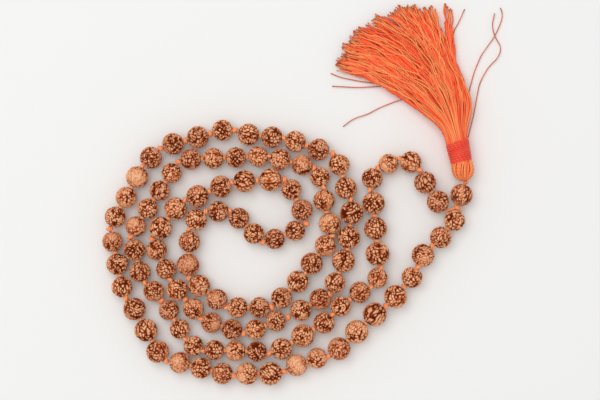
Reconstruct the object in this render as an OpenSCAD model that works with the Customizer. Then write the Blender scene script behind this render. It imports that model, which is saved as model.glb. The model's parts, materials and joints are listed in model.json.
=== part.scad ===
// A mala: a closed strand of drilled seed beads on a knotted cord, a guru bead where
// the strand closes, and a tassel. It lies on a flat surface in a double spiral.
// Origin: on that surface, in the middle of the whole piece. +Z is up, away from the
// surface, and the tassel points along +Y.

/* [Beads] */
// Diameter of the hole through each bead
hole_d = 1.6; // [1.2:0.1:1.7]
// Width of the dimple around each end of a hole
dimple_d = 2.8; // [2.7:0.1:3.2]
// Depth of that dimple
dimple_depth = 0.6; // [0.5:0.1:0.9]
// Diameter of the guru bead, which closes the strand
guru_d = 8.2; // [7.8:0.1:8.3]
// Diameter of the guru bead's hole, for both ends of the cord
guru_hole_d = 2.4; // [2.2:0.1:2.6]

/* [Cord] */
// Diameter of the stringing cord
cord_d = 0.8; // [0.5:0.1:0.8]
// Diameter of the knots that keep the beads of a stretch apart
knot_d = 1.9; // [1.2:0.1:1.9]
// Length of a knot along the cord
knot_len = 1.5; // [1.3:0.1:1.5]

/* [Tassel] */
// Direction of the tassel, counted from +X
tassel_turn = 102; // [98:1:106]
// Diameter of the knot that the tassel hangs on
neck_knot_d = 2; // [1.6:0.1:2]
// Diameter of the round head of folded threads
head_d = 8.2; // [7.8:0.1:8.3]
// Diameter of the thread bundle under the binding
bundle_d = 8; // [7.4:0.1:8]
// Outer diameter of the wound binding
binding_d = 9.4; // [8.6:0.1:10]
// Length of the wound binding
binding_len = 7.6; // [6:0.1:8]
// Height of the fringe where it leaves the binding
fringe_h = 8.6; // [7:0.1:9]
// Diameter of a single stray thread
thread_d = 0.6; // [0.4:0.1:0.8]

/* [Hidden] */
$fn = 48;

// One row for each straight stretch of the strand, in stringing order: the diameters of the
// beads that stand on it, and the centres of its first and last bead in plan.
STRETCHES = [
    [[8.3, 8.2], [49, -3.5], [44.25, 3.5]],
    [[8], [39, 11], [39, 11]],
    [[7.4], [31, 10.25], [31, 10.25]],
    [[7.8], [25, 5], [25, 5]],
    [[8.4, 8.6, 8.8], [25.5, -4], [27, -22.5]],
    [[7.5], [27, -31.25], [27, -31.25]],
    [[7.9, 7.6], [20.5, -36.5], [13.5, -41.5]],
    [[7.9, 8.5, 8], [7.5, -47.5], [-8, -57]],
    [[7.6, 7.6, 7.5], [-17, -58], [-32.5, -57.5]],
    [[7.4], [-40, -56], [-40, -56]],
    [[7.4], [-45, -49.75], [-45, -49.75]],
    [[7.5, 7.8], [-49, -43], [-54.5, -36]],
    [[7.9, 8], [-59.5, -29], [-61.5, -21]],
    [[7.6, 7.6, 7.5, 7.6], [-61, -12.5], [-48, 7]],
    [[7.8, 7.7, 7.7, 7.7], [-41, 12], [-16.5, 13]],
    [[7.8, 7.8], [-8.5, 12], [-0.5, 10]],
    [[7.4], [6, 5.5], [6, 5.5]],
    [[8.1, 8.1], [7.5, -3], [9.5, -11.5]],
    [[7.9, 8.1], [8, -19.5], [3, -26]],
    [[8.1, 7.9], [-2, -32.5], [-8, -38.5]],
    [[7.8, 7.7], [-16, -42], [-24, -42]],
    [[7.9, 8.1], [-31.5, -39], [-38, -34]],
    [[8.4, 8], [-42, -26.5], [-41.5, -18]],
    [[8.1], [-39, -10], [-39, -10]],
    [[7.8], [-31, -7], [-31, -7]],
    [[7.7, 7.7], [-23.5, -9.5], [-18, -15]],
    [[7.6, 7.6], [-10.5, -17], [-3, -14]],
    [[8, 7.7], [-0.5, -6.5], [-4.5, 1]],
    [[8.5, 8.2], [-12, 4.5], [-21.5, 4]],
    [[8.2, 8.3], [-30, 2], [-38.5, -1.5]],
    [[8.4, 8.4], [-46.5, -6], [-52, -13]],
    [[7.7, 7.6], [-53.5, -21], [-50, -28]],
    [[8, 7.9], [-46, -35.5], [-40, -42.5]],
    [[7.7, 7.7], [-33.5, -47.5], [-26, -50]],
    [[7.5, 7.6], [-17.5, -50], [-10, -47]],
    [[7.9, 7.9], [-1, -43], [6, -39]],
    [[7.8, 8.6], [11.5, -33], [14.5, -25]],
    [[8.5, 8.7], [16.5, -16.5], [17.5, -7.5]],
    [[8.2, 7.8], [15.5, 1.5], [13, 10]],
    [[8.2, 7.8], [5.5, 15.5], [-3, 18.5]],
    [[8, 8.2], [-11.5, 20], [-20, 21]],
    [[7.8, 8.1, 8.1], [-29.5, 22.5], [-47.5, 17.5]],
    [[8.2], [-55.5, 12.5], [-55.5, 12.5]],
    [[8.2, 7.8, 7.8], [-60.5, 5.5], [-68.5, -9]],
    [[7.6, 8, 7.9], [-69.5, -18], [-66, -34.5]],
    [[8.3, 8.4, 8.4], [-61.5, -42.5], [-53, -58]],
    [[7.9, 7.8, 8], [-45, -62], [-29.5, -66]],
    [[8.2, 8.6], [-20.5, -66], [-12, -66]],
    [[8, 7.6], [-2.5, -63], [5, -60.5]],
    [[8.5, 8.6, 8.8], [13, -57], [26, -44.5]],
    [[8.6, 7.8], [33.5, -38], [39.5, -31]],
    [[8.5], [43.5, -23], [43.5, -23]],
    [[8, 7.8], [50, -16.5], [55, -10.25]]
];
LAST = len(STRETCHES) - 1;

// Centre of the guru bead in plan, and the point that the tassel swings and lifts on
guru_at = [57.5, -1];
neck_at = [59, 3.5];

// Number of sides of the cross-section of the cord and of a stray thread
SIDES = 8;
// How far the cord runs straight on past the last bead of a stretch
lead = 0.2;
// Two bends of the cord that are closer than this are made one
shortest_link = 0.7;
// Length over which the cord swells into a knot
knot_taper = 0.4;
// Room between the two strands of cord in the guru bead
strand_gap = 0.2;
// Distances along the tassel from the point it swings on
head_from_neck = 4.6;
binding_from_neck = 7.6;
recess_d = 2.5;
recess_end = 1.2;
fringe_from_neck = binding_from_neck + binding_len;
// Reach of the fringe's slope, measured on the surface
fringe_reach = 66;
tassel_z = binding_d / 2;
stray_z = thread_d * 0.6;
neck_z = (guru_d + binding_d) / 4;

// Outline of the fringe in plan, from its left edge round its thread ends to its right edge
FRINGE = [
    [50.5, 23], [43.5, 28], [36.5, 33], [29, 38.5], [25, 42], [19.5, 44.5], [11.5, 45.5],
    [13, 48], [15.5, 53], [18.5, 57.5], [22, 59], [26, 64], [32, 65], [36.5, 68], [42.5, 66.5],
    [46.5, 67], [50.5, 70], [54.5, 68.5], [54.5, 52.5], [56, 46.5], [58.5, 39.5], [61, 32.5],
    [61.5, 28]
];

// Courses of the loose threads that lie outside the fringe
STRAYS = [
    [[29, 39], [20, 38.5], [10.5, 39]],
    [[29, 40.5], [20, 41], [13.5, 42], [10, 43.5]],
    [[39.5, 35.5], [34.5, 33.5], [28, 31], [23.5, 28.5], [18.5, 27], [14.5, 24]],
    [[59, 37], [62.5, 44], [65, 50], [69, 57], [69, 61], [70, 65.5]],
    [[60.5, 22], [62.5, 29], [63.5, 35], [64.5, 40], [67.5, 45.5], [71.5, 49.5], [72.5, 53],
     [71.5, 57.5], [72.5, 62.5], [72.5, 66], [71.5, 67.5]],
    [[53.5, 58.5], [57, 62.5], [59, 67]]
];

function bead_node(k) = str("beads_", k < 9 ? "0" : "", k + 1);

function unit(v) = v / norm(v);
function heading(v) = atan2(v[1], v[0]);
function raised(p, z) = [p[0], p[1], z];

function sizes(k) = STRETCHES[k][0];
function first(k) = STRETCHES[k][1];
function last(k) = STRETCHES[k][2];
function count(k) = len(sizes(k));
// Height of the cord, which the largest bead of a stretch carries above the surface
function cord_z(k) = max(sizes(k)) / 2;
// A lone bead's hole points from the bead before it to the bead after it
function before(k) = k == 0 ? guru_at : last(k - 1);
function after(k) = k == LAST ? guru_at : first(k + 1);
function along(k) = unit(count(k) > 1 ? last(k) - first(k) : after(k) - before(k));
// Distance from the first bead of a stretch to another one, if they all touched
function packed(k, i) = i == 0 ? 0 : packed(k, i - 1) + (sizes(k)[i - 1] + sizes(k)[i]) / 2;
// Room between neighbouring beads of a stretch, which is the same between all of them
function room(k) = (norm(last(k) - first(k)) - packed(k, count(k) - 1)) / (count(k) - 1);
function bead_at(k, i) = i == 0 ? first(k) : first(k) + along(k) * (packed(k, i) + i * room(k));
// Middle of the room before a bead of a stretch
function gap_middle(k, i) = bead_at(k, i) - along(k) * (sizes(k)[i] + room(k)) / 2;
// Where the straight cord of a stretch starts and ends, and where it meets the guru bead
function entry(k) = raised(first(k) - along(k) * (sizes(k)[0] / 2 + lead), cord_z(k));
function exit(k) = raised(last(k) + along(k) * (sizes(k)[count(k) - 1] / 2 + lead), cord_z(k));
guru_along = unit(neck_at - guru_at);
guru_entry = raised(guru_at - guru_along * (guru_d / 2 + lead), guru_d / 2);

// The corners of a cross-section at the start of a route of [point, diameter] pairs, and at
// every point after it: each ring is the one before it, slid along to the plane of the next
// mitre and swollen about its middle
function first_ring(route) =
    let (ahead = unit(route[1][0] - route[0][0]), side = unit(cross(ahead, [0, 0, 1])),
         up = cross(side, ahead))
    [for (j = [0 : SIDES - 1])
        route[0][0] + (cos(360 * j / SIDES) * side + sin(360 * j / SIDES) * up) * route[0][1] / 2];
function step_at(route, i) = unit(route[i][0] - route[i - 1][0]);
function mitre(route, i) =
    i == len(route) - 1 ? step_at(route, i) : unit(step_at(route, i) + step_at(route, i + 1));
function slid(ring, route, i) =
    let (ahead = step_at(route, i), plane = mitre(route, i), middle = route[i][0],
         swell = route[i][1] / route[i - 1][1])
    [for (v = ring)
        middle + swell * (v + ahead * ((middle - v) * plane) / (ahead * plane) - middle)];
function rings_along(route) =
    [for (i = 0, ring = first_ring(route); i < len(route);
          i = i + 1, ring = i < len(route) ? slid(ring, route, i) : ring) ring];

// A cord or thread that runs straight from point to point of a route, mitred at each turn
module swept(route) {
    rings = rings_along(route);
    n = len(route);
    polyhedron(
        points = [for (ring = rings, p = ring) p],
        faces = concat(
            [[for (j = [0 : SIDES - 1]) j]],
            [[for (j = [0 : SIDES - 1]) n * SIDES - 1 - j]],
            [for (i = [0 : n - 2], j = [0 : SIDES - 1])
                [i * SIDES + j, (i + 1) * SIDES + j,
                 (i + 1) * SIDES + (j + 1) % SIDES, i * SIDES + (j + 1) % SIDES]]
        ),
        convexity = 10
    );
}

// A drilled seed with a dimple at each end of its hole, which lies along Z
module drilled_bead(d, hole, dimple) {
    difference() {
        sphere(d = d);
        cylinder(d = hole, h = d + 1, center = true);
        for (end = [0, 1])
            mirror([0, 0, end])
                translate([0, 0, d / 2 - dimple_depth])
                    cylinder(d1 = hole, d2 = dimple, h = dimple_depth);
    }
}

// Stands a piece that was made along Z in the strand: on the surface, along a heading
module laid(at, turn, z) {
    translate(raised(at, z)) rotate([0, 90, turn]) children();
}

// The beads of one straight stretch, which share its axis
module beads(k) {
    color(k % 3 == 0 ? "sienna" : k % 3 == 1 ? "peru" : "chocolate")
        for (i = [0 : count(k) - 1])
            laid(bead_at(k, i), heading(along(k)), cord_z(k))
                drilled_bead(sizes(k)[i], hole_d, dimple_d);
}

// A knot's swelling of the cord: narrow, full, full, narrow
function knot(at, ahead) =
    [for (place = [[-0.5, 0, cord_d], [-0.5, knot_taper, knot_d],
                   [0.5, -knot_taper, knot_d], [0.5, 0, cord_d]])
        [at + ahead * (place[0] * knot_len + place[1]), place[2]]];
function knots(k) =
    [for (i = [1 : 1 : count(k) - 1],
          swelling = knot(raised(gap_middle(k, i), cord_z(k)), raised(along(k), 0))) swelling];
// The bends of the cord from one stretch to the next
function link(k) =
    let (a = exit(k), b = entry(k + 1))
    norm(b - a) < shortest_link ? [[(a + b) / 2, cord_d]] : [[a, cord_d], [b, cord_d]];

// One cord from end to end: up through the guru bead side by side with its other end,
// through every stretch of beads in turn, and back through the guru bead
module stringing_cord() {
    top = raised(neck_at - guru_along * (neck_knot_d / 2 + 0.05), guru_d / 2);
    side = [-guru_along[1], guru_along[0], 0] * (cord_d + strand_gap) / 2;
    color("darkorange")
        swept(concat(
            [for (p = [top + side, guru_entry + side, entry(0)]) [p, cord_d]],
            [for (k = [0 : LAST], at = concat(knots(k), k < LAST ? link(k) : [])) at],
            [for (p = [exit(LAST), guru_entry - side, top - side]) [p, cord_d]]
        ));
}

module guru_bead() {
    color("rosybrown")
        laid(guru_at, heading(guru_along), guru_d / 2)
            drilled_bead(guru_d, guru_hole_d, guru_hole_d + 1.2);
}

module tassel_neck_knot() {
    color("orangered") translate(raised(neck_at, neck_z)) sphere(d = neck_knot_d);
}

// Puts a piece of the tassel, made along Z from the neck, where it lies
module on_tassel() {
    laid(neck_at, tassel_turn, tassel_z) children();
}

// The folded threads: a round head with a recess for the neck knot, and the bundle below
module tassel_head() {
    color("orangered")
        on_tassel()
            difference() {
                union() {
                    translate([0, 0, head_from_neck]) sphere(d = head_d);
                    translate([0, 0, head_from_neck])
                        cylinder(d = bundle_d, h = fringe_from_neck - head_from_neck);
                }
                cylinder(d = recess_d, h = 2 * recess_end, center = true);
            }
}

module tassel_binding() {
    color("red")
        on_tassel()
            translate([0, 0, binding_from_neck])
                difference() {
                    cylinder(d = binding_d, h = binding_len);
                    translate([0, 0, -1]) cylinder(d = bundle_d, h = binding_len + 2);
                }
}

// The fan of cut threads: its outline in plan, sloping down from the binding to the ends
module tassel_fringe() {
    across = [sin(tassel_turn), -cos(tassel_turn)] * bundle_d / 2;
    root = neck_at + [cos(tassel_turn), sin(tassel_turn)] * fringe_from_neck;
    color("tomato")
        intersection() {
            linear_extrude(fringe_h + 1)
                polygon(concat([root - across], FRINGE, [root + across]));
            translate(raised(root, 0))
                cylinder(r1 = fringe_reach, r2 = bundle_d / 2, h = fringe_h, $fn = 12);
        }
}

module stray_threads() {
    color("orange")
        for (course = STRAYS)
            swept([for (p = course) [raised(p, stray_z), thread_d]]);
}

for (k = [0 : LAST])
    beads(k);
stringing_cord();
guru_bead();
tassel_neck_knot();
tassel_head();
tassel_binding();
tassel_fringe();
stray_threads();
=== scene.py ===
"""Looks of a mala: 108 furrowed seed beads, a guru bead, a knotted cord and a thread tassel."""
import json
import math
import random

import bmesh
import bpy
import numpy as np
from bpy.props import FloatProperty, FloatVectorProperty, IntProperty, PointerProperty
from mathutils import Matrix, Vector, noise

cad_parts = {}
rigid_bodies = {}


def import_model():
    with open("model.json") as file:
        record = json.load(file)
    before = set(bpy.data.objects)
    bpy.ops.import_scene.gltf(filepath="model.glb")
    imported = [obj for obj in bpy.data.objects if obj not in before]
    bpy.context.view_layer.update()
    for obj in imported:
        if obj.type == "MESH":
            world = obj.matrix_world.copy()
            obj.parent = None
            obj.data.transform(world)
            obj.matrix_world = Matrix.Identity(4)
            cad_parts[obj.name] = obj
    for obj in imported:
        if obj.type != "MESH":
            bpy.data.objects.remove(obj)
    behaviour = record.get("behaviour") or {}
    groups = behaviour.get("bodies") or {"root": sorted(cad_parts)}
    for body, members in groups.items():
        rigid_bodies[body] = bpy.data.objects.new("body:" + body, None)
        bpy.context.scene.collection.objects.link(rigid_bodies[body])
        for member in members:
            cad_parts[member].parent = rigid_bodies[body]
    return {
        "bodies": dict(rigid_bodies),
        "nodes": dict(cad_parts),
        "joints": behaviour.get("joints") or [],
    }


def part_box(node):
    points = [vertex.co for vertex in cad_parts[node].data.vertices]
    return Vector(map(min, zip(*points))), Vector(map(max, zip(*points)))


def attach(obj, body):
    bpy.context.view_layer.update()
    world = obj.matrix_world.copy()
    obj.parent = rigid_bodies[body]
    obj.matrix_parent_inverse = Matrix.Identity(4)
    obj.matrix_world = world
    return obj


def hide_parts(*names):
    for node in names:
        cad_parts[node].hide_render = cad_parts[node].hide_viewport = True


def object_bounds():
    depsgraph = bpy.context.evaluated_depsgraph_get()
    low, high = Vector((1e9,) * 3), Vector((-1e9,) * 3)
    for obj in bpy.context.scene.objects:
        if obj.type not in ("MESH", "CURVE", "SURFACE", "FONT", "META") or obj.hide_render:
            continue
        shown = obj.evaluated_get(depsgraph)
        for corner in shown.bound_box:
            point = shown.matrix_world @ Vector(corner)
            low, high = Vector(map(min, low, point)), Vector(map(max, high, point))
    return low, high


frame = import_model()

bl_info = {
    "name": "Mala",
    "version": (1, 0, 0),
    "blender": (4, 5, 0),
    "location": "View3D > Sidebar > Mala",
    "description": "Models a strand of seed beads with its cord, guru bead and tassel",
    "category": "Add Mesh",
}

CAD_BOX = [list(corner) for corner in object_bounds()]
MM = 0.001
UP = np.array([0.0, 0.0, 1.0])


def linear(code):
    """The linear colour of an sRGB hex value."""
    shares = [int(code[i:i + 2], 16) / 255 for i in (0, 2, 4)]
    return tuple(c / 12.92 if c <= 0.04045 else ((c + 0.055) / 1.055) ** 2.4
                 for c in shares) + (1.0,)


def colour_property(name, description, code):
    return FloatVectorProperty(name=name, description=description, default=linear(code), size=4,
                               min=0, max=1, subtype="COLOR")


def length_property(name, description, millimetres):
    return FloatProperty(name=name, description=description, default=millimetres * MM, min=0,
                         subtype="DISTANCE", unit="LENGTH", precision=5)


class MALA_PG_seeds(bpy.types.PropertyGroup):
    ridge_rise: length_property("Ridge rise",
                                "How far the ridges stand above the nominal ball", 0.06)
    crevice_depth: length_property("Crevice depth",
                                   "Depth of crevices before a kind's own share", 0.6)
    furrow_depth: length_property("Furrow depth",
                                  "Depth of the five furrows from hole to hole", 0.4)
    columns: IntProperty(name="Columns", description="Faces round a seed", default=108,
                         min=36, max=160)
    rings: IntProperty(name="Rings", description="Faces from hole to hole", default=56,
                       min=20, max=90)
    # The ridge colours hold a painted highlight as well as the rubbed tan, and the crevice colours
    # hold painted shade as well as the dark skin
    ridge: colour_property("Ridges", "Colour of the rubbed ridges", "FFC494")
    flank: colour_property("Flanks", "Colour of the sides of the ridges", "C0581E")
    crevice: colour_property("Crevices", "Colour deep in the crevices", "420A00")
    guru_ridge: colour_property("Guru bead ridges",
                                "Colour of the worn ridges of the guru bead", "FFB688")
    guru_flank: colour_property("Guru bead flanks", "Colour of the sides of its ridges", "C4683A")
    guru_crevice: colour_property("Guru bead crevices", "Colour of its crevices", "4C180A")


class MALA_PG_threads(bpy.types.PropertyGroup):
    cord: length_property("Cord", "Width of the stringing cord", 0.9)
    knot: length_property("Knots", "Width of the knots between the beads", 3.1)
    thread: length_property("Tassel thread", "Width of a tassel thread", 0.52)
    twist: length_property("Twist", "Length of one turn of a thread's two plies", 1.9)
    tufts: IntProperty(name="Tufts", description="Unspread tufts of thread under the fringe",
                       default=90, min=0, max=200)
    count: IntProperty(name="Fringe threads", description="Threads in the fringe", default=300,
                       min=40, max=400)
    # Thread colours run from deep to bright by each strand's shade value, which is partly random tone
    # and partly painted light: painted shade on threads low in the tassel and a painted highlight on
    # threads crossing on top. The deep colours also paint shade between the plies
    bright: colour_property("Bright thread", "Colour of thread on top of the tassel", "FFB068")
    deep: colour_property("Deep thread", "Colour of thread deep in the tassel", "FF3E08")
    # The cut ends are drawn darker brown over their last stretch
    cut: colour_property("Cut ends", "Colour of the frayed, soiled ends", "A85A34")
    cord_colour: colour_property("Cord colour", "Colour of the stringing cord", "FFB478")
    cord_deep: colour_property("Deep cord colour", "Colour between the plies of the cord", "FF8A48")
    binding: colour_property("Binding", "Colour of the wound binding", "FF6448")
    binding_deep: colour_property("Deep binding", "Colour between the binding's plies", "E83C28")
    loose: colour_property("Loose threads", "Colour of the loose threads", "F4803C")
    loose_deep: colour_property("Deep loose threads", "Colour between their plies", "B84A1C")


class MALA_PG_stage(bpy.types.PropertyGroup):
    floor: colour_property("Floor", "Colour of the plain floor", "F3F3F1")
    sky: FloatProperty(name="Sky", description="Strength of the even light from all round",
                       default=0.6, min=0)
    lamp: FloatProperty(name="Lamp", description="Power of the large soft lamp", default=11.6,
                        min=0, unit="POWER")


class MALA_PG_settings(bpy.types.PropertyGroup):
    seeds: PointerProperty(type=MALA_PG_seeds)
    threads: PointerProperty(type=MALA_PG_threads)
    stage: PointerProperty(type=MALA_PG_stage)


# ---------------------------------------------------------------- general helpers

def unit(v):
    return v / np.linalg.norm(v)


def smoothstep(low, high, x):
    t = np.clip((x - low) / (high - low), 0.0, 1.0)
    return t * t * (3 - 2 * t)


def joint_of(body):
    return next(j for j in frame["joints"] if j["child"] == body)


def point_of(joint):
    return np.array(joint["pos_m"]) / MM


def link(name, mesh):
    obj = bpy.data.objects.new(name, mesh)
    bpy.context.scene.collection.objects.link(obj)
    return obj


def finish_piece(obj, body, stands_for, material):
    """Gives a piece its material and body, and hides the CAD nodes that it stands for."""
    obj.data.materials.clear()
    obj.data.materials.append(material)
    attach(obj, body)
    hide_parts(*stands_for)


def start_fresh():
    """Leaves object mode with nothing selected, because an operator acts on all that is."""
    if bpy.context.object and bpy.context.object.mode != "OBJECT":
        bpy.ops.object.mode_set(mode="OBJECT")
    bpy.ops.object.select_all(action="DESELECT")


def node(tree, kind, inputs=(), **settings):
    """Adds a node with its settings, values and links."""
    made = tree.nodes.new(kind)
    for key, value in settings.items():
        setattr(made, key, value)
    for key, value in dict(inputs).items():
        if isinstance(value, bpy.types.NodeSocket):
            tree.links.new(value, made.inputs[key])
        else:
            made.inputs[key].default_value = value
    return made


def ramp(tree, factor, stops):
    """A colour ramp with these (place, colour) stops."""
    made = node(tree, "ShaderNodeValToRGB", {"Fac": factor})
    elements = made.color_ramp.elements
    while len(elements) < len(stops):
        elements.new(0.5)
    for element, (place, colour) in zip(elements, stops):
        element.position = place
        element.color = colour
    return made.outputs["Color"]


def mix(tree, factor, a, b, blend="MIX"):
    return node(tree, "ShaderNodeMix", {0: factor, 6: a, 7: b}, data_type="RGBA",
                blend_type=blend).outputs[2]


def new_material(name):
    material = bpy.data.materials.new(name)
    material.use_nodes = True
    tree = material.node_tree
    tree.nodes.clear()
    output = node(tree, "ShaderNodeOutputMaterial")
    return material, tree, output


# ---------------------------------------------------------------- the strand as the CAD has it

class Bead:
    """Centre, diameter and hole direction of one bead, in millimetres."""

    def __init__(self, node_name, centre, diameter, axis):
        self.node_name, self.centre, self.diameter, self.axis = node_name, centre, diameter, axis

    def end(self, side, lead=0.2):
        return self.centre + self.axis * side * (self.diameter / 2 + lead)


def beads_on(name):
    """The beads of one CAD node, in stringing order, from its separate closed shells."""
    joint = joint_of(name)
    axis = np.array(joint["axis"])
    shells = bmesh.new()
    shells.from_mesh(frame["nodes"][name].data)
    bmesh.ops.remove_doubles(shells, verts=shells.verts, dist=0.001 * MM)
    left, found = set(shells.verts), []
    while left:
        heap, shell = [left.pop()], []
        while heap:
            vert = heap.pop()
            shell.append(vert.co / MM)
            for edge in vert.link_edges:
                other = edge.other_vert(vert)
                if other in left:
                    left.remove(other)
                    heap.append(other)
        shell = np.array(shell)
        low, high = shell.min(0), shell.max(0)
        found.append(Bead(name, (low + high) / 2, high[2] - low[2], axis))
    shells.free()
    return sorted(found, key=lambda bead: float(bead.centre @ axis))


def strand():
    """All counting beads in stringing order, and the guru bead."""
    names = sorted(name for name in frame["bodies"] if name.startswith("beads_"))
    return [bead for name in names for bead in beads_on(name)], beads_on("guru_bead")[0]


# ---------------------------------------------------------------- seed beads

# Rudraksha, the stone of a fruit: dried, cleaned, oiled and drilled along the line from pole
# to pole. Five furrows run from hole to hole, and winding ridges cover the lobes between them.
# Each kind: distance between crevices in millimetres, how far ridges are drawn out from hole to
# hole (1 is not at all, less is more), how far short crevices cut across them, share of the full
# depth, share of full furrow depth, how far wear has flattened it all over and in patches, and
# how often it is modelled.
SEED_KINDS = {
    "wrinkled": dict(ridge=1.2, drawn=0.8, cuts=0.8, deep=1.0, furrow=0.35, worn=0.0, patchy=0.3,
                     variants=4),
    "knobbly": dict(ridge=1.15, drawn=1.0, cuts=1.0, deep=1.0, furrow=0.2, worn=0.0, patchy=0.5,
                    variants=3),
    "deep": dict(ridge=1.25, drawn=0.9, cuts=0.7, deep=1.4, furrow=0.5, worn=0.0, patchy=0.0,
                 variants=2),
    "netted": dict(ridge=1.5, drawn=1.0, cuts=0.6, deep=1.2, furrow=0.2, worn=0.0, patchy=0.0,
                   variants=1),
    "striped": dict(ridge=1.25, drawn=0.45, cuts=0.3, deep=1.2, furrow=0.8, worn=0.0, patchy=0.0,
                    variants=1),
    "rubbed": dict(ridge=1.1, drawn=0.9, cuts=0.8, deep=0.9, furrow=0.2, worn=0.15, patchy=0.4,
                   variants=2),
    "smooth": dict(ridge=1.1, drawn=0.8, cuts=0.6, deep=0.8, furrow=0.15, worn=0.25, patchy=0.4,
                   variants=1),
}
# Beads that are clearly of one kind, counted in stringing order
KIND_OF_BEAD = {
    2: "netted", 108: "netted", 71: "deep", 11: "deep", 14: "deep", 15: "deep", 98: "deep",
    72: "deep", 74: "deep", 75: "deep", 103: "striped", 26: "striped", 13: "rubbed", 97: "rubbed",
    100: "rubbed", 102: "rubbed", 4: "rubbed", 36: "rubbed", 1: "rubbed", 24: "smooth",
    85: "smooth", 99: "smooth", 101: "smooth", 37: "rubbed",
}
# A seed as it is modelled, in millimetres: its radius, the radius of the dimple round its hole,
# and how far the surface sinks towards the rim of that dimple
SEED_RADIUS = 4.0
MOUTH = 1.45
RIM_SINK = 0.12
# How far each ring of the dimple sinks, in millimetres, and the share to which it narrows
SINKS = ((0.12, 0.82), (0.3, 0.75), (0.35, 0.86))
# Lobes of a seed, with a furrow between each two
LOBES = 5
# Depth of the deepest crevices of a kind that is 1.0 deep, as a share of the set crevice depth
CREVICE_SHARE = 0.85

# How many plane waves make up a winding pattern
WAVES = 40
# How far apart such a pattern changes sign on average, as a share of the waves' length
LINE_SPACING = 0.87


def ripples(places, length, drawn, chance):
    """Plane waves of one length in random directions, which add up to a winding pattern."""
    total = np.zeros(len(places))
    for _ in range(WAVES):
        ahead = unit(np.array([chance.gauss(0, 1) for _ in range(3)]))
        ahead[2] *= drawn
        total += np.cos(places @ ahead * (2 * math.pi / length) + chance.uniform(0, 2 * math.pi))
    return total * math.sqrt(2 / WAVES)


def seed_height(places, kind, chance):
    """Height of a seed's surface at points of the ball: 1 on a ridge, 0 deep in a crevice.
    Crevices follow the lines where the ripples change sign."""
    length = kind["ridge"] / LINE_SPACING
    winding = smoothstep(0.08, 1.0, np.abs(ripples(places, length, kind["drawn"], chance)))
    across = smoothstep(0.05, 0.8, np.abs(ripples(places, length, 1.0, chance)))
    patches = ripples(places, 4.5, 1.0, chance)
    height = winding * (1 - kind["cuts"] * smoothstep(-0.7, 0.7, patches) * (1 - across))
    worn = kind["worn"] + kind["patchy"] * smoothstep(0.2, 1.2, ripples(places, 11.0, 1.0, chance))
    return worn + (1 - worn) * height


def seed_furrow(places, chance):
    """1 in the middle of one of the five furrows, 0 away from them."""
    turn = np.arctan2(places[:, 1], places[:, 0]) + 0.08 * ripples(places, 8.0, 1.0, chance)
    off = (turn * LOBES / (2 * math.pi) + 0.5) % 1 - 0.5
    reach = np.hypot(places[:, 0], places[:, 1])
    return np.exp(-((off * 2 * math.pi / LOBES * reach) / 0.3) ** 2)


def drill_seed(settings):
    """A ball of faces opened at both poles, with a dimple at each end of a bore."""
    start_fresh()
    bpy.ops.mesh.primitive_uv_sphere_add(segments=settings.columns, ring_count=settings.rings,
                                         radius=SEED_RADIUS * MM, location=(0, 0, 0))
    obj = bpy.context.object
    bpy.ops.object.mode_set(mode="EDIT")
    bpy.ops.mesh.select_mode(type="FACE")
    shape = bmesh.from_edit_mesh(obj.data)
    for face in shape.faces:
        place = face.calc_center_median() / MM
        face.select = math.hypot(place.x, place.y) < MOUTH
    bpy.ops.mesh.delete(type="FACE")
    bpy.ops.mesh.select_mode(type="EDGE")
    for end in (1, -1):
        for sink, shrink in SINKS:
            shape = bmesh.from_edit_mesh(obj.data)
            for edge in shape.edges:
                middle = (edge.verts[0].co.z + edge.verts[1].co.z) / 2
                edge.select = edge.is_boundary and middle * end > 0
            bpy.ops.mesh.extrude_edges_move(
                TRANSFORM_OT_translate={"value": (0, 0, -end * sink * MM)})
            bpy.ops.transform.resize(value=(shrink, shrink, 1), center_override=(0, 0, 0))
    shape = bmesh.from_edit_mesh(obj.data)
    for edge in shape.edges:
        edge.select = edge.is_boundary
    bpy.ops.mesh.bridge_edge_loops(number_cuts=2)
    bpy.ops.mesh.select_all(action="SELECT")
    bpy.ops.mesh.normals_make_consistent(inside=False)
    bpy.ops.mesh.faces_shade_smooth()
    bpy.ops.object.mode_set(mode="OBJECT")
    return obj


def carve_seed(mesh, kind, chance, settings):
    """Moves the outside of a drilled ball to the ridges, crevices and furrows of one seed."""
    count = len(mesh.vertices)
    places = np.empty(count * 3)
    mesh.vertices.foreach_get("co", places)
    places = places.reshape(count, 3) / MM
    reach = np.hypot(places[:, 0], places[:, 1])
    away = np.linalg.norm(places, axis=1)
    outside = away > SEED_RADIUS * 0.995
    heights = seed_height(places, kind, chance)
    furrows = seed_furrow(places, chance) * kind["furrow"]
    lumps = ripples(places, 13.0, 1.0, chance)
    fade = np.where(outside, smoothstep(MOUTH - 0.1, MOUTH + 0.5, reach), 0.0)
    drop = (1 - heights) * kind["deep"] * settings.crevice_depth / MM * CREVICE_SHARE
    drop += furrows * settings.furrow_depth / MM
    rise = settings.ridge_rise / MM + 0.05 * np.clip(lumps - 1, -2, 0) - drop
    rise = np.where(outside, fade * rise - (1 - fade) * RIM_SINK, 0.0)
    places *= (1 + rise / away)[:, None]
    mesh.vertices.foreach_set("co", (places * MM).ravel())
    # Relief, which the material colours by: furrows lower it, and the dimple and bore get low fixed
    # values that paint shade round and in the hole
    relief = np.clip(heights - furrows, 0, 1) * fade + (1 - fade) * np.where(outside, 0.25, 0.1)
    set_values(mesh, "relief", relief)
    mesh.update()


def seed_masters(settings):
    """One finished seed mesh for each variant of each kind."""
    ball = drill_seed(settings)
    masters = {}
    for name, kind in SEED_KINDS.items():
        for variant in range(kind["variants"]):
            mesh = ball.data.copy()
            carve_seed(mesh, kind, random.Random(f"{name} {variant}"), settings)
            masters.setdefault(name, []).append(mesh)
    bpy.data.objects.remove(ball)
    return masters


def set_values(mesh, name, values):
    """Gives every vertex a value that a material reads."""
    mesh.attributes.new(name, "FLOAT", "POINT").data.foreach_set("value", values)


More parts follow.
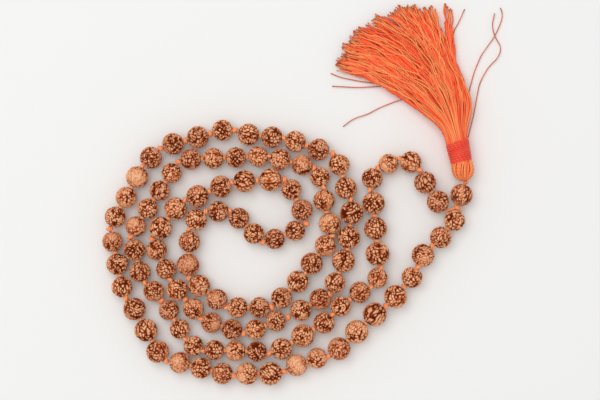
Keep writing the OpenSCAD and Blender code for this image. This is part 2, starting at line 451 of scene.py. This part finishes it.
def place_seed(name, master, bead, chance, tone):
    """A copy of a seed, sized and turned onto its stretch of cord."""
    mesh = master.copy()
    mesh.name = name
    towards = Vector(bead.axis).to_track_quat("Z", "Y").to_matrix().to_4x4()
    flip = Matrix.Rotation(math.pi * chance.randrange(2), 4, "X")
    spin = Matrix.Rotation(chance.uniform(0, 2 * math.pi), 4, "Z")
    size = Matrix.Scale(bead.diameter / 2 / SEED_RADIUS, 4)
    mesh.transform(Matrix.Translation(Vector(bead.centre) * MM) @ towards @ flip @ spin @ size)
    set_values(mesh, "tone", np.full(len(mesh.vertices), tone))
    return link(name, mesh)


def seed_material(name, ridge, flank, crevice, gloss):
    """Dry rudraksha seed, brushed clean and lightly oiled: rubbed ridges are tan and a little
    shiny, the crevices keep the dark red-brown of the dried fruit and scatter dully. Painted light
    is mixed in: painted shade darkens the crevices, furrows and bore, and a painted highlight
    lightens the ridge tops."""
    material, tree, output = new_material(name)
    relief = node(tree, "ShaderNodeAttribute", attribute_name="relief").outputs["Fac"]
    tone = node(tree, "ShaderNodeAttribute", attribute_name="tone").outputs["Fac"]
    place = node(tree, "ShaderNodeTexCoord").outputs["Object"]
    # Fibre specks about 0.25 mm wide, and stains a few millimetres wide
    specks = node(tree, "ShaderNodeTexNoise", {"Vector": place, "Scale": 4000.0, "Detail": 2.0})
    stains = node(tree, "ShaderNodeTexNoise", {"Vector": place, "Scale": 420.0, "Detail": 2.0})
    height = node(tree, "ShaderNodeMath", {0: specks.outputs["Fac"], 1: 0.35, 2: relief},
                  operation="MULTIPLY_ADD")
    lowered = node(tree, "ShaderNodeMath", {0: height.outputs[0], 1: 0.175}, operation="SUBTRACT")
    # Painted shade and highlight: low relief takes the dark crevice colour and high relief the light
    # ridge colour
    colour = ramp(tree, lowered.outputs[0],
                  [(0.0, crevice), (0.22, crevice), (0.5, flank), (0.92, ridge)])
    reddened = mix(tree, tone, colour, linear("A85A48"), "MULTIPLY")
    toned = mix(tree, 0.35, colour, reddened)
    stained = mix(tree, node(tree, "ShaderNodeMath", {0: stains.outputs["Fac"], 1: 0.5},
                             operation="MULTIPLY").outputs[0], toned, flank, "MIX")
    final = mix(tree, 0.55, toned, stained)
    bump = node(tree, "ShaderNodeBump", {"Height": specks.outputs["Fac"], "Strength": 0.35,
                                         "Distance": 0.06 * MM})
    rough = node(tree, "ShaderNodeMapRange", {"Value": relief, "To Min": 0.85, "To Max": gloss})
    gleam = node(tree, "ShaderNodeMapRange", {"Value": relief, "To Min": 0.05, "To Max": 0.45})
    shader = node(tree, "ShaderNodeBsdfPrincipled", {
        "Base Color": final, "Roughness": rough.outputs[0], "Normal": bump.outputs[0],
        "Specular IOR Level": gleam.outputs[0]})
    tree.links.new(shader.outputs[0], output.inputs["Surface"])
    return material


class MALA_OT_seed_beads(bpy.types.Operator):
    """Model the counting beads and put each on its stretch of cord"""
    bl_idname = "mala.seed_beads"
    bl_label = "Seed beads"

    def execute(self, context):
        settings = context.scene.mala.seeds
        material = seed_material("oiled_rudraksha_seed", settings.ridge, settings.flank,
                                 settings.crevice, 0.42)
        masters = seed_masters(settings)
        chance = random.Random(108)
        common = ["wrinkled"] * 5 + ["knobbly"] * 3 + ["rubbed"]
        for number, bead in enumerate(strand()[0], 1):
            kind = KIND_OF_BEAD.get(number, chance.choice(common))
            seed = place_seed(f"bead_{number:03d}", chance.choice(masters[kind]), bead, chance,
                              chance.random() ** 2)
            finish_piece(seed, bead.node_name, [bead.node_name], material)
        for meshes in masters.values():
            for mesh in meshes:
                bpy.data.meshes.remove(mesh)
        return {"FINISHED"}


class MALA_OT_guru_bead(bpy.types.Operator):
    """Model the guru bead, which is greyer and more worn than the others"""
    bl_idname = "mala.guru_bead"
    bl_label = "Guru bead"

    def execute(self, context):
        settings = context.scene.mala.seeds
        material = seed_material("worn_rudraksha_seed", settings.guru_ridge, settings.guru_flank,
                                 settings.guru_crevice, 0.5)
        ball = drill_seed(settings)
        kind = dict(SEED_KINDS["wrinkled"], deep=0.8, worn=0.15)
        carve_seed(ball.data, kind, random.Random(3), settings)
        guru = place_seed("guru_bead", ball.data, strand()[1], random.Random(109), 0.2)
        bpy.data.objects.remove(ball)
        finish_piece(guru, "guru_bead", ["guru_bead"], material)
        return {"FINISHED"}


# ---------------------------------------------------------------- thread and cord

# Distance between the places where a slack thread catches the light, in millimetres
GLINT = 11.0
# A knot in the cord, in millimetres: the width of the strand that wraps, the length of one turn
# of its plies, the least width over all, and how far the knot's radius exceeds its distance from
# the nearest bead
KNOT_STRAND = 0.85
KNOT_TWIST = 1.6
SMALLEST_KNOT = 2.3
KNOT_REACH = 0.95
# How many times a knot's strand wraps, and the number of points on its route
KNOT_TURNS = 2.5
KNOT_SAMPLES = 22
# Width of the strand of the knot at the tassel's neck, in millimetres
NECK_STRAND = 0.7
# In millimetres: how far before the tassel's neck the ends of the cord stop, how far each of
# them runs from the middle of the guru bead's hole, how far the cord rises between two
# stretches, and how far under the guru bead the closing knot sits
NECK_GAP = 0.9
END_OFFSET = 0.42
BEND_RISE = 0.8
CLOSING_DROP = 0.6


class Bundle:
    """Gathers twisted strands into the points, faces and attributes of one piece."""

    def __init__(self):
        self.points, self.faces, self.values = [], [], {"ply": [], "shade": [], "tip": []}
        self.total = 0

    def add_strand(self, route, width, twist, shade, sides=6, phase=0.0, tips=(0.0, 0.0), ply=0.38):
        """Sweeps a two-ply section along a route of close points, all in millimetres.
        tips are the lengths of the darker-brown cut stretch at the start and at the end."""
        count = len(route)
        ahead = np.gradient(route, axis=0)
        ahead /= np.linalg.norm(ahead, axis=1)[:, None]
        side = np.empty_like(ahead)
        reference = UP if abs(ahead[0] @ UP) < 0.9 else np.array([1.0, 0.0, 0.0])
        carried = np.cross(ahead[0], reference)
        for i in range(count):
            carried = carried - (carried @ ahead[i]) * ahead[i]
            carried /= np.linalg.norm(carried)
            side[i] = carried
        across = np.cross(ahead, side)
        along = np.concatenate([[0], np.cumsum(np.linalg.norm(np.diff(route, axis=0), axis=1))])
        around = np.arange(sides) * 2 * math.pi / sides
        crown = np.abs(np.cos(around[None, :] - phase - along[:, None] * 2 * math.pi / twist))
        radius = width / 2 * (1 - ply * (1 - crown))
        glint = shade + 0.2 * np.sin(along * 2 * math.pi / GLINT + 3 * phase)
        from_start, from_end = along, along[-1] - along
        tip = np.maximum(1 - from_start / tips[0] if tips[0] else 0 * along,
                         1 - from_end / tips[1] if tips[1] else 0 * along)
        tip = np.clip(tip, 0, 1)
        ring = (np.cos(around) * radius)[..., None] * side[:, None] \
            + (np.sin(around) * radius)[..., None] * across[:, None]
        points = route[:, None] + ring
        self.points.append(points.reshape(-1, 3))
        base = self.total
        rows = base + np.arange(count - 1)[:, None] * sides
        here = np.arange(sides)[None, :]
        after = (here + 1) % sides
        quads = np.stack([rows + here, rows + after, rows + sides + after, rows + sides + here], -1)
        self.faces += quads.reshape(-1, 4).tolist()
        self.faces.append([base + i for i in reversed(range(sides))])
        self.faces.append([base + (count - 1) * sides + i for i in range(sides)])
        self.total += count * sides
        self.values["ply"].append(crown.ravel())
        self.values["shade"].append(np.repeat(np.clip(glint, 0, 1), sides))
        self.values["tip"].append(np.repeat(tip, sides))

    def piece(self, name):
        mesh = bpy.data.meshes.new(name)
        mesh.from_pydata((np.concatenate(self.points) * MM).tolist(), [], self.faces)
        for key, parts in self.values.items():
            set_values(mesh, key, np.concatenate(parts))
        obj = link(name, mesh)
        start_fresh()
        obj.select_set(True)
        bpy.context.view_layer.objects.active = obj
        bpy.ops.object.mode_set(mode="EDIT")
        bpy.ops.mesh.select_all(action="SELECT")
        bpy.ops.mesh.normals_make_consistent(inside=False)
        bpy.ops.mesh.faces_shade_smooth()
        bpy.ops.object.mode_set(mode="OBJECT")
        return obj


def resampled(route, step):
    """The same route with points about a step apart."""
    route = np.asarray(route, float)
    along = np.concatenate([[0], np.cumsum(np.linalg.norm(np.diff(route, axis=0), axis=1))])
    places = np.linspace(0, along[-1], max(2, int(round(along[-1] / step)) + 1))
    return np.stack([np.interp(places, along, route[:, i]) for i in range(3)], -1)


def rounded(route, step, reach):
    """A resampled route whose corners are eased over a distance of reach."""
    fine = resampled(route, step)
    width = max(1, int(round(reach / step)))
    padded = np.concatenate([np.repeat(fine[:1], width, 0), fine, np.repeat(fine[-1:], width, 0)])
    total = np.cumsum(np.concatenate([np.zeros((1, 3)), padded]), axis=0)
    window = 2 * width + 1
    eased = (total[window:] - total[:-window]) / window
    eased[0], eased[-1] = fine[0], fine[-1]
    return eased


def thread_material(name, bright, deep, cut):
    """Spun two-ply polyester thread with a soft sheen: the crowns of the plies catch the light,
    painted shade darkens the valleys between plies, and cut ends are drawn darker brown."""
    material, tree, output = new_material(name)
    ply, shade, tip = (node(tree, "ShaderNodeAttribute", attribute_name=key).outputs["Fac"]
                       for key in ("ply", "shade", "tip"))
    place = node(tree, "ShaderNodeTexCoord").outputs["Object"]
    # Fibres about 0.06 mm wide would vanish, so they are drawn 0.2 mm wide
    fibres = node(tree, "ShaderNodeTexNoise", {"Vector": place, "Scale": 5000.0, "Detail": 1.0})
    # Each strand's shade picks its colour between deep and bright: random tone, painted shade for
    # threads low in the tassel, and painted glints along each thread
    thread = mix(tree, shade, deep, bright)
    # Painted shade: in the valleys between the plies the thread's colour is multiplied by the deep
    # colour
    valley = mix(tree, 0.75, thread, deep, "MULTIPLY")
    crown = node(tree, "ShaderNodeMapRange", {"Value": ply, "From Min": 0.3, "From Max": 0.8})
    twisted = mix(tree, crown.outputs[0], valley, thread)
    speckled = mix(tree, node(tree, "ShaderNodeMath", {0: fibres.outputs["Fac"], 1: 0.35},
                              operation="MULTIPLY").outputs[0], twisted, bright)
    ended = mix(tree, tip, speckled, cut)
    bump = node(tree, "ShaderNodeBump", {"Height": fibres.outputs["Fac"], "Strength": 0.4,
                                         "Distance": 0.05 * MM})
    shader = node(tree, "ShaderNodeBsdfPrincipled", {
        "Base Color": ended, "Roughness": 0.45, "Normal": bump.outputs[0],
        "Specular IOR Level": 0.35})
    tree.links.new(shader.outputs[0], output.inputs["Surface"])
    return material


def knot_route(centre, ahead, width, strand_width):
    """Two and a half close wraps round the cord, as a pulled-tight knot shows."""
    side = unit(np.cross(ahead, UP))
    across = np.cross(ahead, side)
    share = np.linspace(0, 1, KNOT_SAMPLES)
    angle = share * KNOT_TURNS * 2 * math.pi
    bulge = np.sin(share * math.pi) ** 0.5
    radius = (width - strand_width) / 2 * bulge
    slide = (share - 0.5) * width * 0.45
    round_cord = np.cos(angle)[:, None] * side + np.sin(angle)[:, None] * across
    return centre + radius[:, None] * round_cord + slide[:, None] * ahead


class MALA_OT_stringing_cord(bpy.types.Operator):
    """Lay the knotted cord through every bead and both its ends through the guru bead"""
    bl_idname = "mala.stringing_cord"
    bl_label = "Stringing cord"

    def execute(self, context):
        settings = context.scene.mala.threads
        width, knot = settings.cord / MM, settings.knot / MM
        beads, guru = strand()
        neck = point_of(joint_of("tassel_neck"))
        below = guru.end(-1)
        top = guru.centre + guru.axis * (np.linalg.norm((neck - guru.centre)[:2]) - NECK_GAP)
        aside = unit(np.cross(guru.axis, UP)) * END_OFFSET
        route = [top + aside, below + aside]
        knots = []
        for before, bead in zip([None] + beads[:-1], beads):
            start, end = bead.end(-1), bead.end(1)
            if before is not None:
                link_middle = (before.end(1) + start) / 2
                same = before.node_name == bead.node_name
                if not same:
                    link_middle = link_middle + UP * BEND_RISE
                    route.append(link_middle)
                knots.append((link_middle, unit(start - before.end(1)) if not same else bead.axis))
            route += [start, end]
        route += [below - aside, top - aside]
        cord = Bundle()
        cord.add_strand(rounded(route, 0.3, 0.45), width, settings.twist / MM, 0.6)
        # Painted light: every knot, the closing one too, is drawn lighter than the cord it is tied
        # in, shade 0.9 against its 0.6
        for centre, ahead in knots:
            room = min(np.linalg.norm(centre - bead.centre) - bead.diameter / 2 for bead in beads)
            size = float(np.clip(2 * (room + KNOT_REACH), SMALLEST_KNOT, knot))
            wraps = knot_route(centre, ahead, size, KNOT_STRAND)
            cord.add_strand(wraps, KNOT_STRAND, KNOT_TWIST, 0.9)
        closing = knot_route(below - CLOSING_DROP * guru.axis, guru.axis, knot, KNOT_STRAND)
        cord.add_strand(closing, KNOT_STRAND, KNOT_TWIST, 0.9)
        piece = cord.piece("stringing_cord")
        material = thread_material("twisted_polyester_cord", settings.cord_colour, settings.cord_deep,
                                   settings.cut)
        finish_piece(piece, "cord", ["stringing_cord"], material)
        return {"FINISHED"}


# ---------------------------------------------------------------- tassel

def tassel_frame():
    """Where the tassel starts, which way it points, and its sideways direction, in millimetres."""
    lift = joint_of("tassel")
    side = np.array(lift["axis"])
    start = point_of(lift)
    low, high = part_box("tassel_binding")
    start[2] = (low.z + high.z) / 2 / MM
    return start, unit(np.cross(UP, side)), side


def around_axis(start, ahead, side, along, radius, angle):
    """Points at distances along, and at a radius and an angle about, the tassel's axis."""
    turn = np.cos(angle)[:, None] * side + np.sin(angle)[:, None] * UP
    return start + along[:, None] * ahead + radius[:, None] * turn


class MALA_OT_tassel_neck(bpy.types.Operator):
    """Tie the small knot that joins the cord ends to the tassel"""
    bl_idname = "mala.tassel_neck"
    bl_label = "Tassel neck knot"

    def execute(self, context):
        settings = context.scene.mala.threads
        _, ahead, side = tassel_frame()
        centre = point_of(joint_of("tassel_neck"))
        knot = Bundle()
        # Two crossed wrappings of thread: direction, width over all and shade of each
        for along, width, shade in ((ahead, 2.1, 0.5), (side, 1.9, 0.3)):
            knot.add_strand(knot_route(centre, along, width, NECK_STRAND), NECK_STRAND,
                            KNOT_TWIST, shade)
        material = thread_material("knotted_polyester_thread", settings.bright, settings.deep,
                                   settings.cut)
        finish_piece(knot.piece("tassel_neck_knot"), "tassel_neck", ["tassel_neck_knot"],
                     material)
        return {"FINISHED"}


# In millimetres along the tassel: where the head is widest, starts and ends; and its radius
HEAD_MIDDLE = 4.6
HEAD_START = 1.0
HEAD_END = 7.9
HEAD_RADIUS = 3.65
# Layers of the head: number of folded threads, and how far they lie below its surface
HEAD_LAYERS = ((26, 0.55), (34, 0.0))


def head_radius(along):
    """Radius of the head's thread surface at a distance along the tassel: a ball, which runs on
    into the bundle under the binding."""
    off = np.clip(HEAD_MIDDLE - along, 0, HEAD_RADIUS)
    return np.sqrt(HEAD_RADIUS ** 2 - off ** 2) - 0.02 * np.clip(along - HEAD_MIDDLE, 0, None) ** 2


class MALA_OT_tassel_head(bpy.types.Operator):
    """Fold the threads over into the round head of the tassel"""
    bl_idname = "mala.tassel_head"
    bl_label = "Tassel head"

    def execute(self, context):
        settings = context.scene.mala.threads
        start, ahead, side = tassel_frame()
        chance = random.Random(21)
        head = Bundle()
        for layer, (count, shrink) in enumerate(HEAD_LAYERS):
            for i in range(count):
                share = np.linspace(0, 1, 40)
                along = HEAD_START + shrink \
                    + (HEAD_END - HEAD_START - shrink) * (1 - np.cos(share * math.pi)) / 2
                bow = chance.uniform(-0.35, 0.35)
                angle = 2 * math.pi * (i + chance.uniform(-0.3, 0.3)) / count \
                    + bow * np.sin(share * math.pi) - 0.8 * share
                uneven = chance.uniform(-0.12, 0.12) * np.sin(share * math.pi)
                radius = head_radius(along) - shrink + uneven
                route = resampled(around_axis(start, ahead, side, along, radius, angle), 0.4)
                # The inner layer keeps shade 0.4, darker than most of the outer layer: painted shade
                # under the outer threads
                head.add_strand(route, 0.78, 2.4, chance.uniform(0.35, 1.0) if layer else 0.4,
                                phase=chance.uniform(0, 6))
        piece = head.piece("tassel_head")
        material = thread_material("folded_polyester_thread", settings.bright, settings.deep,
                                   settings.cut)
        finish_piece(piece, "tassel", ["tassel_head"], material)
        return {"FINISHED"}


class MALA_OT_tassel_binding(bpy.types.Operator):
    """Wind the binding thread tightly below the head"""
    bl_idname = "mala.tassel_binding"
    bl_label = "Tassel binding"

    def execute(self, context):
        settings = context.scene.mala.threads
        start, ahead, side = tassel_frame()
        winding = Bundle()
        turns, first, last = 9.5, 7.75, 14.9
        share = np.linspace(0, 1, int(turns * 60))
        wobble = np.array([noise.noise(Vector((s * 9, 3.1, 0))) for s in share])
        turned = share * turns * 2 * math.pi
        along = first + (last - first) * share + 0.18 * wobble + 0.25 * np.sin(turned)
        lumps = np.array([noise.noise(Vector((s * 30, 0, 7))) for s in share])
        radius = 3.6 + 0.36 * share + 0.07 * lumps
        route = around_axis(start, ahead, side, along, radius, turned - 1.2)
        winding.add_strand(resampled(route, 0.42), 0.92, 2.6, 0.5, sides=8, ply=0.2)
        piece = winding.piece("tassel_binding")
        material = thread_material("wound_polyester_thread", settings.binding, settings.binding_deep,
                                   settings.cut)
        finish_piece(piece, "tassel", ["tassel_binding"], material)
        return {"FINISHED"}


# Courses of the fringe from its left edge to its right edge, in plan, in millimetres
FAN = [
    [(52, 20), (50.5, 22.5), (46.5, 26.5), (40.5, 31), (35, 35), (29, 38.5), (23.5, 42), (11, 45)],
    [(53, 19), (51.5, 24), (46.5, 30), (38, 37.5), (29, 42.5), (20, 47), (12, 48.5)],
    [(54, 19), (50, 28), (42.5, 37.5), (33.5, 44.5), (24.5, 50), (14, 54)],
    [(55, 19), (51.5, 30), (46, 42), (38, 49.5), (29, 55.5), (18, 60)],
    [(56, 19), (53, 34.5), (48, 45.5), (41.5, 53.5), (33.5, 60.5), (25, 66.5)],
    [(57, 19), (54.5, 37), (50, 48), (45, 57), (40, 63.5), (35, 69.5)],
    [(58.5, 19), (57, 37), (53, 48), (49.5, 57), (47, 62), (45, 69.5)],
    [(60, 19.5), (61.5, 28), (60.5, 34.5), (57.5, 42), (55, 48), (54.5, 55), (54, 61),
     (53.5, 71.5)],
]
FAN_SAMPLES = 40
# Where the fan is split, as places from its left edge, 0, to its right edge, 1
SPLIT = (0.9, 0.95)
# In millimetres: where along the tassel the fringe starts, the radius of its round bundle there,
# the length of the straight line on which a thread starts, and the height of the fan at its
# start from its lowest threads to its highest
FAN_START = 14.4
BUNDLE_RADIUS = 3.4
STRAIGHT_RUN = 45
FAN_HEIGHT = 7.0


def fan_courses():
    """The fan's courses, each as the same number of evenly spaced points."""
    courses = []
    for course in FAN:
        flat = np.array([(x, y, 0.0) for x, y in course])
        eased = rounded(flat, 0.5, 3.5)
        along = np.linspace(0, len(eased) - 1, FAN_SAMPLES)
        courses.append(np.stack([np.interp(along, np.arange(len(eased)), eased[:, i])
                                 for i in (0, 1)], -1))
    return np.array(courses)


def in_fan(courses, across):
    """The course at a place across the fan for each sample, 0 at its left and 1 at its right."""
    place = np.clip(across, 0, 1) * (len(courses) - 1)
    low = np.minimum(place.astype(int), len(courses) - 2)
    share = (place - low)[:, None]
    rows = np.arange(FAN_SAMPLES)
    return courses[low, rows] * (1 - share) + courses[low + 1, rows] * share


def fan_thread(courses, root, ahead, side, level, width, spread, sway, end, chance):
    """The route of one thread from the round bundle out into the fan, at a level of its height."""
    across, drift = SPLIT
    while SPLIT[0] < across + drift < SPLIT[1] or not 0 <= across + drift <= 1:
        across, drift = chance.random(), chance.gauss(0, spread)
    share = np.linspace(0, 1, FAN_SAMPLES)
    plan = in_fan(courses, across + drift * smoothstep(0.15, 0.9, share))
    heading = np.gradient(plan, axis=0)
    normal = np.stack([heading[:, 1], -heading[:, 0]], -1)
    normal /= np.linalg.norm(normal, axis=1)[:, None]
    waves = sway * np.sin(share * chance.uniform(4, 11) + chance.uniform(0, 6))
    waves += 0.3 * np.sin(share * chance.uniform(25, 50) + chance.uniform(0, 6))
    plan = plan + normal * (waves * smoothstep(0.1, 0.5, share))[:, None]
    z = 0.45 + level * FAN_HEIGHT * (1 - 0.72 * share)
    z += 0.25 * np.sin(share * chance.uniform(6, 14) + chance.uniform(0, 6))
    route = np.column_stack([plan, z])
    # At the binding the thread stands in the round bundle, and then joins the fan
    off = 2 * across - 1
    chord = math.sqrt(max(0.05, 1 - off * off)) * BUNDLE_RADIUS
    start = root + side * off * BUNDLE_RADIUS + UP * (2 * level - 1) * chord
    line = start + ahead * (share * STRAIGHT_RUN)[:, None]
    blend = smoothstep(0.0, 0.25, share)[:, None]
    tuft = noise.noise(Vector(((across + drift) * 19, 3.3, 0.7)))
    shown = min(end - 0.05 * chance.random() ** 2 + 0.07 * tuft, 1.0)
    route = resampled(line * (1 - blend) + route * blend, 0.3)
    route = route[:int(len(route) * shown)]
    route = resampled(route, 0.5 if width < 1 else 1.2)
    route[:, 2] = np.maximum(route[:, 2], width / 2)
    return route


class MALA_OT_tassel_fringe(bpy.types.Operator):
    """Spread the cut threads of the tassel in their fan"""
    bl_idname = "mala.tassel_fringe"
    bl_label = "Tassel fringe"

    def execute(self, context):
        settings = context.scene.mala.threads
        start, ahead, side = tassel_frame()
        fan = fan_courses(), start + ahead * FAN_START, ahead, side
        chance = random.Random(7)
        under = Bundle()
        for i in range(settings.tufts):
            level = 0.75 * (i + 0.5) / settings.tufts
            width = chance.uniform(1.2, 1.7)
            route = fan_thread(*fan, level, width, 0.04, 0.3, chance.uniform(0.8, 0.9), chance)
            # Painted shade: the tufts lying under the fringe stay near the deep colour
            under.add_strand(route, width, 5.0, chance.uniform(0.0, 0.25),
                             phase=chance.uniform(0, 6), ply=0.15)
        halves = [Bundle(), Bundle()]
        for i in range(settings.count):
            level = ((i + 0.5) / settings.count) ** 0.8
            loose = level > 0.5 and chance.random() < 0.4
            route = fan_thread(*fan, level, settings.thread / MM, 0.14 if loose else 0.06,
                               chance.uniform(0.2, 1.3), 0.97, chance)
            # Loose threads crossing on top are drawn near the bright colour, a painted highlight. The
            # rest take a random tone nearer the deep colour
            shade = chance.uniform(0.8, 1.0) if loose else chance.uniform(0.0, 0.6)
            halves[i % 2].add_strand(route, settings.thread / MM, settings.twist / MM, shade,
                                     phase=chance.uniform(0, 6), tips=(0, 1.1))
        material = thread_material("cut_polyester_thread", settings.bright, settings.deep,
                                   settings.cut)
        for name, bundle in (("tassel_fringe_tufts", under), ("tassel_fringe_a", halves[0]),
                             ("tassel_fringe_b", halves[1])):
            finish_piece(bundle.piece(name), "tassel", ["tassel_fringe"], material)
        return {"FINISHED"}


# Loose threads that lie outside the fan, in plan, in millimetres
LOOSE = [
    [(35, 37), (29, 38.8), (20, 38.3), (10.5, 38.8)],
    [(33, 40), (26, 39.8), (19.5, 40.8), (13.5, 42), (10, 43.5)],
    [(44, 35), (39.5, 34.8), (34.5, 33.5), (28, 31), (23.5, 28.5), (18.5, 27), (14.5, 24)],
    [(60.3, 30), (60.5, 36.5), (62.5, 44), (65, 50), (70, 57), (72.5, 62.5), (73, 66), (72, 67.5)],
    [(60.3, 20), (62.5, 29), (63.5, 35), (64.5, 40), (67.5, 45.5), (71.5, 49.5), (72.5, 53), (70, 57),
     (69, 61), (70, 65.5)],
    [(55, 50), (54.8, 58.5), (57, 62.5), (59, 67)],
    [(57.5, 42), (59.5, 37.5), (61, 32)],
]


class MALA_OT_stray_threads(bpy.types.Operator):
    """Lay the loose threads beside the fan"""
    bl_idname = "mala.stray_threads"
    bl_label = "Stray threads"

    def execute(self, context):
        settings = context.scene.mala.threads
        strays = Bundle()
        chance = random.Random(5)
        for number, course in enumerate(LOOSE):
            flat = [(x, y, 0.34) for x, y in course]
            route = rounded(flat, 0.45, 2.0)
            rise = np.array([noise.noise(Vector((i * 0.05, number * 3.3, 1)))
                             for i in range(len(route))])
            route[:, 2] += 0.25 + 0.4 * np.abs(rise)
            strays.add_strand(route, 0.42, 1.9, chance.uniform(0.2, 0.5), tips=(0, 2.0))
        material = thread_material("loose_polyester_thread", settings.loose, settings.loose_deep,
                                   settings.cut)
        finish_piece(strays.piece("stray_threads"), "tassel", ["stray_threads"],
                     material)
        return {"FINISHED"}


# ---------------------------------------------------------------- stage

# In metres: the camera's height and how far it stands off the middle of the frame's box, and
# the width that it sees with the level at which it is that wide
CAMERA_HEIGHT = 0.6
CAMERA_SHIFT = (0.001, 0.0027)
VIEW_WIDTH = 0.2184
VIEW_LEVEL = 0.004
# Width of the camera's sensor, in millimetres
SENSOR_WIDTH = 36.0


class MALA_OT_stage(bpy.types.Operator):
    """Set the camera straight above, a plain pale floor and soft even light"""
    bl_idname = "mala.stage"
    bl_label = "Stage"

    def execute(self, context):
        settings = context.scene.mala.stage
        scene = context.scene
        low, high = (Vector(corner) for corner in CAD_BOX)
        middle = (low + high) / 2
        camera = bpy.data.objects.new("camera", bpy.data.cameras.new("camera"))
        scene.collection.objects.link(camera)
        camera.data.sensor_width = SENSOR_WIDTH
        camera.data.lens = SENSOR_WIDTH * (CAMERA_HEIGHT - VIEW_LEVEL) / VIEW_WIDTH
        camera.location = (middle.x - CAMERA_SHIFT[0], middle.y - CAMERA_SHIFT[1], CAMERA_HEIGHT)
        scene.camera = camera
        start_fresh()
        bpy.ops.mesh.primitive_plane_add(size=6, location=(0, 0, low.z - 0.00015))
        floor = bpy.context.object
        floor.name = "floor"
        material, tree, output = new_material("plain_matt_floor")
        matt = node(tree, "ShaderNodeBsdfPrincipled", {"Base Color": settings.floor,
                                                       "Roughness": 0.9})
        tree.links.new(matt.outputs[0], output.inputs["Surface"])
        floor.data.materials.append(material)
        world = bpy.data.worlds.new("soft_sky")
        world.use_nodes = True
        background = world.node_tree.nodes["Background"]
        background.inputs["Color"].default_value = (1, 1, 1, 1)
        background.inputs["Strength"].default_value = settings.sky
        scene.world = world
        lamp = bpy.data.objects.new("soft_lamp", bpy.data.lights.new("soft_lamp", "AREA"))
        lamp.data.energy = settings.lamp
        lamp.data.size = 1.3
        lamp.location = (-0.35, 0.35, 1.4)
        lamp.rotation_euler = (-lamp.location.normalized()).to_track_quat("-Z", "Y").to_euler()
        scene.collection.objects.link(lamp)
        scene.view_settings.view_transform = "Standard"
        return {"FINISHED"}


class MALA_PT_panel(bpy.types.Panel):
    """Lists the pieces of the mala in the order they are made"""
    bl_idname = "MALA_PT_panel"
    bl_label = "Mala"
    bl_space_type = "VIEW_3D"
    bl_region_type = "UI"
    bl_category = "Mala"

    def draw(self, context):
        for operator in OPERATORS:
            self.layout.operator(operator.bl_idname)
        mala = context.scene.mala
        for group in (mala.seeds, mala.threads, mala.stage):
            box = self.layout.box()
            for name in group.__annotations__:
                box.prop(group, name)


OPERATORS = (MALA_OT_stage, MALA_OT_stringing_cord, MALA_OT_seed_beads, MALA_OT_guru_bead,
             MALA_OT_tassel_neck, MALA_OT_tassel_head, MALA_OT_tassel_binding,
             MALA_OT_tassel_fringe, MALA_OT_stray_threads)
CLASSES = (MALA_PG_seeds, MALA_PG_threads, MALA_PG_stage, MALA_PG_settings, *OPERATORS,
           MALA_PT_panel)


def register():
    for cls in CLASSES:
        bpy.utils.register_class(cls)
    bpy.types.Scene.mala = PointerProperty(type=MALA_PG_settings)


def unregister():
    del bpy.types.Scene.mala
    for cls in reversed(CLASSES):
        bpy.utils.unregister_class(cls)


def main():
    register()
    bpy.ops.mala.stage()
    bpy.ops.mala.stringing_cord()
    bpy.ops.mala.seed_beads()
    bpy.ops.mala.guru_bead()
    bpy.ops.mala.tassel_neck()
    bpy.ops.mala.tassel_head()
    bpy.ops.mala.tassel_binding()
    bpy.ops.mala.tassel_fringe()
    bpy.ops.mala.stray_threads()


if __name__ == "__main__":
    main()
